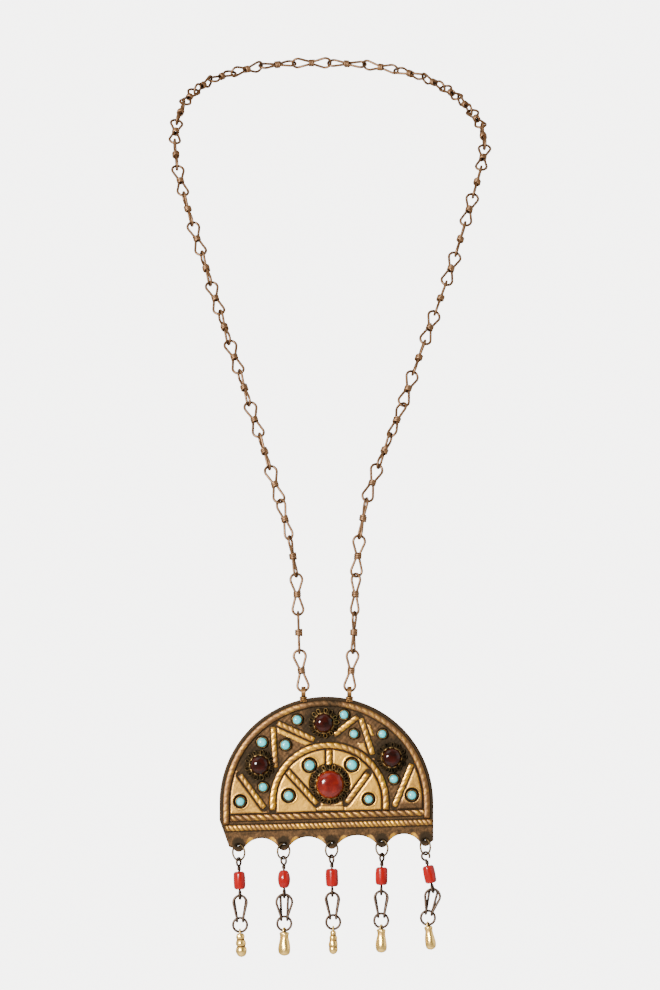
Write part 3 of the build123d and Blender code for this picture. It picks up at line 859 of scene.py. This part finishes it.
def twisted_band(line, width, height, lobe, groove, worn, dull):
    """Two wires twisted together and hammered flat: a low band of slanting lobes.

    groove is how deep the grooves between the lobes are, as a share of the height; worn gives
    the rub in the grooves and on the lobes; dull is half the length of a dull middle, or 0.
    """
    line = np.asarray(line, float)
    steps = np.linalg.norm(np.diff(line, axis=0), axis=1)
    along = np.concatenate([[0], np.cumsum(steps)])
    points_a_lobe, points_across = 11, 15
    count = ceil(along[-1] / (lobe / points_a_lobe))
    at = np.linspace(0, along[-1], count)
    line = np.stack([np.interp(at, along, line[:, i]) for i in (0, 1)], 1)
    tangent = unit(np.gradient(line, axis=0))
    across = np.stack([-tangent[:, 1], tangent[:, 0]], 1)
    turn = np.linspace(-pi / 2, pi / 2, points_across)
    side, crown = np.sin(turn), np.cos(turn)
    drift = np.cumsum(chance.normal(0, 0.03, count)) * 0.25
    lobes = np.abs(np.sin((at / lobe + drift)[:, None] * pi + turn)) ** 0.5
    taper = (0.35 + 0.65 * smooth_step(0, 0.9 * MM, np.minimum(at, along[-1] - at)))[:, None]
    shifts = side * width / 2 * (0.95 + 0.05 * lobes) * (0.8 + 0.2 * taper)
    shifts = np.hstack([shifts, shifts[:, -1:], shifts[:, :1]])
    lifts = height * crown ** 0.55 * (1 - groove + groove * lobes) * taper
    lifts = np.hstack([lifts, np.full((count, 2), -0.1 * MM)])
    places = line[:, None, :] + across[:, None, :] * shifts[:, :, None]
    points = raised(places.reshape(-1, 2), lifts.reshape(-1))

    patchy = 1 + 0.16 * np.sin(at / (7 * MM) + chance.uniform(0, tau)) * np.sin(at / (2.9 * MM))
    if dull:
        patchy *= 0.4 + 0.6 * smooth_step(dull * 0.7, dull * 1.1, np.abs(at - along[-1] / 2))
    low, high = worn
    rub = (low + (high - low) * lobes) * crown ** 0.35 * patchy[:, None] * (0.9 + 0.1 * taper)
    rub = np.hstack([rub, rub[:, -1:] * 0.3, rub[:, :1] * 0.3])
    faces = flipped(grid_faces(count, shifts.shape[1], False))
    return Shape().add(points, faces, rub.reshape(-1))


def arch_line(x, y, radius, feet):
    """A half circle with a straight leg down to a foot on each side."""
    step = 0.4 * MM
    places = [(x - radius, feet[0])]
    places += run_between(places[-1], (x - radius, y), step)
    places += arc_between(places[-1], (x, y + radius), (x + radius, y), step)
    places += run_between(places[-1], (x + radius, feet[1]), step)
    return places


def lay_wires():
    """The twisted wires on the plate: two arches, two borders and nine short strips."""
    outer_feet = [on_border(side * outer_rope_radius, outer_rope_foot)[1] for side in (-1, 1)]
    outer_line = arch_line(*outer_arch[:3], outer_feet)
    inner_line = arch_line(inner_x, inner_y, inner_radius, [inner_foot, inner_foot])
    # Name, line, width and height, length of a lobe, groove, worn, and dull middle
    wires = [
        ("outer_rope", outer_line, rope_size, 2.9 * MM, 0.09, (0.36, 0.64), bail_spacing / 2),
        ("inner_rope", inner_line, rope_size, 2.9 * MM, 0.16, (0.50, 0.92), 0),
        ("upper_border", border_lines[0], rope_size, 3.1 * MM, 0.5, (0.05, 0.72), 0),
        ("lower_border", border_lines[1], rope_size, 1.9 * MM, 0.26, (0.18, 0.82), 0),
    ]
    for number, line in enumerate(strip_lines, 1):
        wires.append((f"strip_{number}", line, strip_size, 2.6 * MM, 0.2, (0.46, 0.92), 0))
    for name, line, size, lobe, groove, worn, dull in wires:
        soldered(name, twisted_band(line, *size, lobe, groove, worn, dull), rope_metal)


def seated(x, y):
    """What sets points made about their own upright axis on the plate at a place."""
    def set_down(points):
        across, up, height = np.asarray(points, float).T
        return np.stack([plate_x + x + across, front_y - height, plate_z + y + up], 1)
    return set_down


def collet(radius):
    """A plain cup of thin sheet with a rolled lip and a flared foot."""
    bore = radius + stone_gap
    wall, top = collet_wall, collet_height
    # Distance out from the bore, height, and rub
    cup = [
        (wall + collet_flare, -0.1 * MM, 0.1), (wall + collet_flare / 2, 0.35 * MM, 0.2),
        (wall * 0.85, 0.9 * MM, 0.35), (wall * 0.8, top - 0.25 * MM, 0.6),
        (wall * 0.55, top - 0.03 * MM, 0.8), (wall * 0.25, top, 0.85),
        (-0.05 * MM, top - 0.06 * MM, 0.6), (-0.02 * MM, top - 0.3 * MM, 0.2), (0, 0.2 * MM, 0.0),
    ]
    lip = chance.uniform(0, tau)

    def wobble(index, angles):
        dent = 1 + 0.025 * np.sin(3 * angles + lip) + 0.015 * np.sin(7 * angles + 2 * lip)
        return dent, 0.05 * MM * np.sin(5 * angles + lip) * (2 < index < 8)

    sides = 40
    profile = [(bore + out, height) for out, height, _ in cup]
    points, faces = lathe(profile, sides, wobble, closed=True)
    return points, faces, np.repeat([rub for _, _, rub in cup], sides)


def serrated_setting(radius, foot, teeth, start):
    """A low crown round a large stone: a wide foot and a toothed lip folded over the stone."""
    sides = teeth * 12
    bore = radius + stone_gap
    # Radius, height and rub
    crown = [
        (foot, -0.1 * MM, 0.1), (foot * 0.985, 0.25 * MM, 0.22), (foot * 0.93, 0.62 * MM, 0.45),
        ((foot + bore) / 2, setting_height * 0.55, 0.34),
        (bore + 0.75 * MM, setting_height * 0.82, 0.3),
        (bore + 0.45 * MM, setting_height * 1.12, 0.6),
        (bore + 0.12 * MM, setting_height * 1.28, 0.85),
        (bore - 0.28 * MM, setting_height * 1.30, 0.8),
        (bore - 0.12 * MM, setting_height * 1.08, 0.3),
        (bore + 0.02 * MM, setting_height * 0.7, 0.0),
    ]
    lean = chance.uniform(-0.5, 0.5, teeth)

    def wobble(index, angles):
        gap = 1 - np.abs(np.sin(teeth * angles / 2 + start))
        which = ((angles / tau * teeth) % teeth).astype(int)
        lobes = 1 - 0.05 * gap * (index < 3)
        rise = -0.28 * MM * gap ** 1.2 * (index in (2, 3))
        if 4 < index < 9:
            rise = -gap ** 1.5 * setting_height * 0.34 + lean[which] * 0.12 * MM
            lobes = 1 + 0.035 * gap * (index > 5)
        return lobes, rise

    profile = [(out, height) for out, height, _ in crown]
    points, faces = lathe(profile, sides, wobble, closed=True)
    return points, faces, np.repeat([rub for _, _, rub in crown], sides)


def wire_petals(shape, place, reach, size, count, height, slope, rub):
    """A frill of small wire petals round a stone, each leaning on the setting's slope."""
    for index in range(count):
        angle = (index + chance.uniform(-0.15, 0.15)) * tau / count
        length = size * chance.uniform(0.85, 1.12)
        petal = []
        for turn in turns(14):
            out = length * 1.3 * cos(turn)
            side = length * (0.84 + 0.12 * cos(turn)) * sin(turn)
            x = (reach + out) * cos(angle) - side * sin(angle)
            y = (reach + out) * sin(angle) + side * cos(angle)
            petal.append((x, y, height - out * slope))
        worn = rub * chance.uniform(0.6, 1.25)
        shape.wire(petal, 0.27 * MM, 7, worn, closed=True, place=place)


def set_stones():
    """The collets of the small stones and the crowned settings of the large ones."""
    for node in turquoises:
        x, y, radius = stone_place(node)
        points, faces, rub = collet(radius)
        shape = Shape().add(seated(x, y)(points), faces, rub)
        soldered(node.replace("turquoise", "collet"), shape, setting_metal)
    # Foot, teeth and their start; then the petals: reach past the stone, size, count, height
    # as a share of the setting's, slope and rub
    settings = {
        node: (dark_setting_radius, 11, start, 1.25 * MM, 0.85 * MM, 13, 0.72, 0.75, rub)
        for start, (node, rub) in enumerate(zip(dark_stones, (0.52, 0.62, 0.30)))
    }
    settings["centre_stone"] = (
        centre_setting_radius, 14, 0.4, 1.35 * MM, 0.75 * MM, 19, 0.74, 0.7, 0.6
    )
    for node, (foot, teeth, start, reach, size, count, rise, slope, rub) in settings.items():
        x, y, radius = stone_place(node)
        place = seated(x, y)
        points, faces, crown_rub = serrated_setting(radius, foot, teeth, start)
        shape = Shape().add(place(points), faces, crown_rub)
        height = setting_height * rise
        wire_petals(shape, place, radius + reach, size, count, height, slope, rub)
        soldered(node.replace("stone", "setting"), shape, setting_metal)


def make_bails():
    """The two bails: a ribbed strap bent over the bore, with a collar and a soldered foot."""
    centre_z = hinge.z - (bail_bore_radius - link_wire / 2 - bail_play)
    neck_z, foot_z = centre_z - bail_bore_radius, centre_z - bail_rise * 0.62
    radius, strap_end = bail_bore_radius + bail_wall / 2, radians(152)
    rib = bail_width * 0.19
    foot_heights = np.linspace(neck_z - bail_wall * 0.7, centre_z - bail_rise * 0.75, 6)
    across, along = bail_width / 2 + 0.35 * MM, bail_wall + sheet_thickness * 0.72
    for number, side in enumerate((-1, 1), 1):
        x = side * bail_spacing / 2
        shape = Shape()
        for shift in np.linspace(rib - bail_width / 2, bail_width / 2 - rib, 4):
            bend = [
                (x + shift, hinge.y + radius * sin(angle), centre_z + radius * cos(angle))
                for angle in np.linspace(-strap_end, strap_end, 40)
            ]
            front, back = hinge.y - sheet_thickness * 0.9, hinge.y + sheet_thickness * 0.9
            strap = [(x + shift, front, foot_z)] + bend + [(x + shift, back, foot_z)]
            shape.wire(strap, rib, 12, 0.55, side=np.array([1.0, 0.0, 0.0]))
        for share in np.linspace(-1, 1, 5):
            rib_x = x + share * (bail_width / 2 + 0.1 * MM)
            foot = [(rib_x, hinge.y - sheet_thickness * 0.62, z) for z in foot_heights]
            shape.wire(foot, 0.36 * MM, 8, 0.55 + 0.2 * (share == 0))
        for below in (0, 0.62 * MM):
            z = neck_z - bail_wall * 0.9 - below
            collar = [
                (x + across * cos(angle), hinge.y + along * sin(angle), z) for angle in turns(28)
            ]
            shape.wire(collar, 0.32 * MM, 8, 0.6, closed=True)
        soldered(f"bail_{number}", shape, rope_metal)


def make_eyelets():
    """A worn rim round the hole in each tip, in front and behind."""
    shape = Shape()
    wide = (tip_hole_radius + 0.2 * MM) / tip_hole_radius
    for x, y in tip_holes:
        rim = [(x + across * wide, y + up * wide) for across, up in tip_hole(32)]
        for height in (0.05 * MM, -sheet_thickness):
            shape.wire(raised(rim, height), 0.25 * MM, 8, 0.12, closed=True)
    soldered("tip_eyelets", shape, setting_metal)


def node_points(node):
    """The points of a solid."""
    mesh = frame["nodes"][node].data
    points = np.empty(len(mesh.vertices) * 3)
    mesh.vertices.foreach_get("co", points)
    return points.reshape(-1, 3)


def hanging(node, lean=0):
    """What hangs points made about the upright axis where a leaning solid is, and its length."""
    angle = radians(lean)
    directions = np.array([[cos(angle), 0, sin(angle)], [0, 1, 0], [-sin(angle), 0, cos(angle)]])
    reach = node_points(node) @ directions.T
    low, high = reach.min(axis=0), reach.max(axis=0)
    top = np.array([(low[0] + high[0]) / 2, (low[1] + high[1]) / 2, high[2]]) @ directions
    return lambda points: top + np.asarray(points, float) @ directions, high[2] - low[2]


def make_beads():
    """The coral beads: cylinders with worn rims, one of them a barrel, with a drilled hole."""
    rim = bead_bore + 0.12 * MM
    for number, (lean, end_share, size) in enumerate(bead_shapes, 1):
        node = f"coral_bead_{number}"
        place, length = hanging(node, lean)
        profile = [(bead_bore, -0.5 * length), (bead_bore, -0.06 * MM), (rim, 0.0)]
        for share in np.linspace(0.0, 1.0, 19):
            side = 2 * share - 1
            swell = end_share + (1 - end_share) * (1 - side ** 2)
            rounding = 1 - max(0.0, abs(side) - 0.80) ** 2 * 7.0
            profile.append((bead_diameter / 2 * swell * rounding, -length * share))
        profile += [(rim, -length), (bead_bore, 0.06 * MM - length)]
        start = chance.uniform(0, tau)

        def wobble(index, angles):
            dents = 0.012 * np.sin(3 * angles + index * 0.3 + start)
            uneven = 1 + 0.02 * np.sin(2 * angles + start) + dents
            return (uneven * size if profile[index][0] > bead_bore * 1.5 else 1.0), 0 * angles

        points, faces = lathe(profile, 40, wobble, closed=True)
        shape = Shape().add(place(points), flipped(faces))
        piece(f"bead_{number}", shape, coral_finish, "pendant", [node])


def teardrop(width, length, foot_spread, foot_height, count=30):
    """One loop's centreline, up one leg, round the end and down the other."""
    radius = width / 2
    centre = length - radius
    reach = hypot(foot_spread, centre - foot_height)
    heading = atan2(centre - foot_height, -foot_spread) - asin(radius / reach)
    side = sqrt(reach ** 2 - radius ** 2)
    x, y = foot_spread + side * cos(heading), foot_height + side * sin(heading)
    start = atan2(y - centre, x)
    angles = np.linspace(start, pi - start, count + 1)
    arc = [(radius * cos(angle), centre + radius * sin(angle)) for angle in angles]
    up = np.linspace((foot_spread, foot_height), (x, y), 5, endpoint=False).tolist()
    return up + arc + [(-across, height) for across, height in reversed(up)]


def folded_wire(front, back):
    """One wire bent into two long loops, front and back, and folded under at their feet."""
    _, length = hanging("folded_link_1")
    top_gap = (fold_wire + fringe_gap) / 2
    foot_gap = (jump_ring_wire + fold_wire) / 2 + fringe_gap
    foot_x = (fold_foot_width - fold_wire) / 2
    tall = length - fold_wire - foot_gap
    foot = -tall - fold_wire / 2
    loops = []
    for side, share in ((-1, front), (1, back)):
        outline = teardrop(fold_width * share - fold_wire, tall, foot_x, 0.0, 40)
        gap = [foot_gap + (top_gap - foot_gap) * height / tall for _, height in outline]
        loops.append([(x, side * y, foot + height) for (x, height), y in zip(outline, gap)])
    bend = [
        (-cos(angle) * foot_gap, foot - sin(angle) * foot_gap)
        for angle in np.arange(1, 12) * pi / 12
    ]
    under = [(-foot_x, y, z) for y, z in bend]
    back_under = [(foot_x, -y, z) for y, z in bend]
    return loops[0] + under + loops[1][::-1] + back_under


def wire_loop(height, turn, radius, start=0, sweep=360, count=40):
    """A round loop standing upright at a height, turned about the upright axis."""
    across, along = cos(radians(turn)), sin(radians(turn))
    steps = np.radians(np.linspace(start, start + sweep, count, endpoint=sweep != 360))
    out, up = radius * np.cos(steps), radius * np.sin(steps)
    return np.stack([out * across, out * along, height + up], 1)


def make_wires():
    """The fringe's wires: top rings, pins with wound necks, folded links and jump rings."""
    for number, turn in enumerate(top_ring_turns, 1):
        node = f"top_ring_{number}"
        place, length = hanging(node)
        line = wire_loop(-length / 2, turn, top_ring_radius)
        shape = Shape().wire(line, ring_wire_radius, 10, 0.5, closed=True, place=place)
        piece(f"ring_{number}", shape, ring_metal, "pendant", [node])
    for number, (lean, eye_turn, foot_turn, gap) in enumerate(pin_shapes, 1):
        node = f"eye_wire_{number}"
        place, length = hanging(node, lean)
        upper = -eye_radius - eye_wire / 2
        lower = -length - upper
        neck = upper - eye_radius
        eye = wire_loop(upper, eye_turn, eye_radius, gap - 90, 360 - gap)
        foot_eye = wire_loop(lower, foot_turn, eye_radius)
        shank = [(0, 0, z) for z in np.linspace(neck, lower + eye_radius, 8)]
        coil_radius, coil_top, rise = 0.62 * MM, neck - eye_wire / 2, 0.42 * MM / tau
        coil = [
            (coil_radius * cos(angle), coil_radius * sin(angle), coil_top - rise * angle)
            for angle in np.arange(0, 3.2 * tau, tau / 16)
        ]
        shape = Shape()
        shape.wire(eye, eye_wire_radius, 10, 0.5, closed=not gap, place=place)
        shape.wire(foot_eye, eye_wire_radius, 10, 0.5, closed=True, place=place)
        shape.wire(shank, eye_wire / 2, 10, 0.5, place=place)
        shape.wire(coil, neck_wire_radius, 10, 0.5, place=place)
        piece(f"pin_{number}", shape, dark_metal, "pendant", [node])
    ring_line = wire_loop(-jump_ring_radius - jump_ring_wire / 2, 0, jump_ring_radius)
    for number, (lean, front, back) in enumerate(fold_shapes, 1):
        for kind, line, radius in (
            ("folded_link", folded_wire(front, back), fold_wire_radius),
            ("jump_ring", ring_line, jump_wire_radius),
        ):
            node = f"{kind}_{number}"
            place, _ = hanging(node, lean)
            shape = Shape().wire(line, radius, 12, 0.5, closed=True, place=place)
            piece(f"{kind}_wire_{number}", shape, dark_metal, "pendant", [node])


def make_drops():
    """The cast drops: each a swelling body under its own eye."""
    eye_height = -drop_eye_radius - drop_eye_wire / 2
    body_top = eye_height - 0.55 * MM
    sides = 32
    for number, (lean, turn, width, flat, profile) in enumerate(drop_shapes, 1):
        node = f"brass_drop_{number}"
        place, length = hanging(node, lean)
        around = radians(turn)
        eye = wire_loop(eye_height, turn, drop_eye_radius, count=28)
        shape = Shape().wire(eye, drop_eye_wire / 2, 10, 0.55, closed=True, place=place)
        body = length + body_top
        outline = [
            (max(0.02, radius) * width / 2, body_top - body * share)
            for share, radius in smooth_curve(profile, 46)
        ]

        def wobble(index, angles):
            oval = 1 - (1 - flat) * np.cos(angles - around) ** 2
            dents = 1 + 0.02 * np.sin(3 * angles + index * 0.35 + number)
            return oval * dents, 0 * angles

        points, faces = lathe(outline, sides, wobble, closed=False)
        radii = np.array([radius for radius, _ in outline])
        hollow = np.gradient(np.gradient(radii)) / (radii.max() * 0.02)
        rub = np.clip(0.62 - 0.5 * np.clip(hollow, -0.4, 1.0), 0.1, 1)
        shape.add(place(points), flipped(faces), np.repeat(rub, sides))
        piece(f"drop_{number}", shape, drop_metal, "pendant", [node])


def loose_parts(node):
    """The separate solids of a node, each as its points."""
    mesh = frame["nodes"][node].data
    points = node_points(node)
    places = np.round(points / (0.002 * MM)).astype(np.int64)
    welded, index = np.unique(places, axis=0, return_inverse=True)
    index = index.reshape(-1)
    edges = np.empty(len(mesh.edges) * 2, int)
    mesh.edges.foreach_get("vertices", edges)
    edges = index[edges.reshape(-1, 2)]
    label, before = np.arange(len(welded)), None
    while before is None or (label != before).any():
        before = label.copy()
        low = np.minimum(label[edges[:, 0]], label[edges[:, 1]])
        np.minimum.at(label, edges[:, 0], low)
        np.minimum.at(label, edges[:, 1], low)
        label = label[label]
    label = label[index]
    return [points[label == part] for part in np.unique(label)]


def main_directions(points):
    """The middle of a symmetric solid, its directions, longest first, and its size in them."""
    spread = points - points.mean(axis=0)
    few = spread[::max(1, len(spread) // 4000)]
    _, _, directions = np.linalg.svd(few, full_matrices=False)
    reach = points @ directions.T
    low, high = reach.min(axis=0), reach.max(axis=0)
    return (low + high) / 2 @ directions, directions, high - low


def chain_link(shape, middle, along, face, length, start):
    """One link: two teardrop loops and the turns of wire wound round their feet."""
    normal = np.cross(along, face)
    waist = waist_turns * link_wire
    wire = link_wire * 1.04
    for sign, width in zip((1, -1), link_widths):
        tall = (length - wire) / 2 - 0.02 * MM
        loop = teardrop(width - wire, tall, 0.6 * MM, waist / 2 - link_wire)
        line = [middle + face * x * sign + along * y * sign for x, y in loop]
        shape.wire(line, wire / 2, 12, 0.52, side=normal)
    radius = (waist_diameter - link_wire) / 2
    coil = []
    for share in np.linspace(0, 1, waist_turns * 22 + 1):
        angle = share * waist_turns * tau + start
        height = (share - 0.5) * (waist - link_wire * 0.98)
        around = face * cos(angle) + normal * sin(angle)
        coil.append(middle + around * radius + along * height)
    shape.wire(coil, link_wire / 2 * 0.98, 10, 0.6)


def make_chain():
    """Both sides of the chain, each link where the solid one is."""
    for node in ("chain_left", "chain_right"):
        links = [main_directions(part) for part in loose_parts(node)]
        links.sort(key=lambda link: link[0][2])
        order = [links.pop(0)]
        while links:
            here = order[-1][0]
            links.sort(key=lambda link: np.linalg.norm(link[0] - here))
            order.append(links.pop(0))
        middles = [link[0] for link in order]
        towards = np.diff(middles + [2 * middles[-1] - middles[-2]], axis=0)
        shape = Shape()
        for index, (middle, directions, reach) in enumerate(order):
            along = directions[0] * np.sign(directions[0] @ towards[index])
            chain_link(shape, middle, along, directions[1], reach[0], index * 1.7)
        piece(f"{node}_wires", shape, chain_metal, "chain", [node])


def dress_stones():
    """The stones keep the solid model's shapes and get their finishes."""
    for node, made in frame["nodes"].items():
        for kind, finish in stone_finishes.items():
            if node.startswith(kind):
                for place in made.material_slots:
                    place.material = finish


def aim(made, place, target):
    """Stand a light or the camera at a place and turn it to what it looks at."""
    made.location = place
    made.rotation_euler = (Vector(target) - Vector(place)).to_track_quat("-Z", "Y").to_euler()
    bpy.context.scene.collection.objects.link(made)


def light_room():
    """A plain pale floor far below, a surround that is brightest behind, and three soft lights."""
    bpy.ops.mesh.primitive_plane_add(size=15.0, location=(0, -0.1, -1.3))
    floor = bpy.context.object
    floor.name = "floor"
    floor.data.materials.append(floor_finish("pale_floor"))
    world = bpy.data.worlds.new("pale_room")
    world.use_nodes = True
    tree = world.node_tree
    ground = tree.nodes["Background"]
    ground.inputs["Color"].default_value = opaque((1.0, 0.985, 0.965))
    coordinates = tree.nodes.new("ShaderNodeTexCoord")
    axes = tree.nodes.new("ShaderNodeSeparateXYZ")
    tree.links.new(coordinates.outputs["Generated"], axes.inputs[0])
    total = tree.nodes.new("ShaderNodeMath")
    # A soft glow all round and a bright wall behind: from and to along Y, and their strengths
    for index, ramp in enumerate(((-0.75, 0.3, 0.27, 1.1), (0.90, 0.985, 0.0, 4.7))):
        fade = tree.nodes.new("ShaderNodeMapRange")
        fade.interpolation_type = "SMOOTHSTEP"
        for socket, value in zip(("From Min", "From Max", "To Min", "To Max"), ramp):
            fade.inputs[socket].default_value = value
        tree.links.new(axes.outputs["Y"], fade.inputs["Value"])
        tree.links.new(fade.outputs[0], total.inputs[index])
    tree.links.new(total.outputs[0], ground.inputs["Strength"])
    bpy.context.scene.world = world
    # Name, place, size and power
    for name, place, size, power in (
        ("key_light", (-0.85, -1.75, 0.0), 0.26, 72),
        ("high_light", (-0.7, -0.9, 1.1), 1.2, 9),
        ("fill_light", (1.4, -0.8, 0.1), 1.4, 5),
    ):
        data = bpy.data.lights.new(name, "AREA")
        data.size = size
        data.energy = power
        aim(bpy.data.objects.new(name, data), place, (0, -0.15, -0.22))


def place_camera():
    """The camera, level in front of the chest as in the photograph, aimed at the necklace."""
    camera = bpy.data.cameras.new("camera")
    distance, view_width = 2.4, 0.416
    camera.sensor_width = 36
    camera.lens = camera.sensor_width * distance / view_width
    view = bpy.data.objects.new("camera", camera)
    aim(view, (-0.00195, hinge.y - distance, -0.1641), (0.0015, hinge.y, -0.1935))
    bpy.context.scene.camera = view


make_sheet()
lay_wires()
set_stones()
make_eyelets()
make_bails()
make_chain()
make_beads()
make_wires()
make_drops()
dress_stones()
light_room()
place_camera()
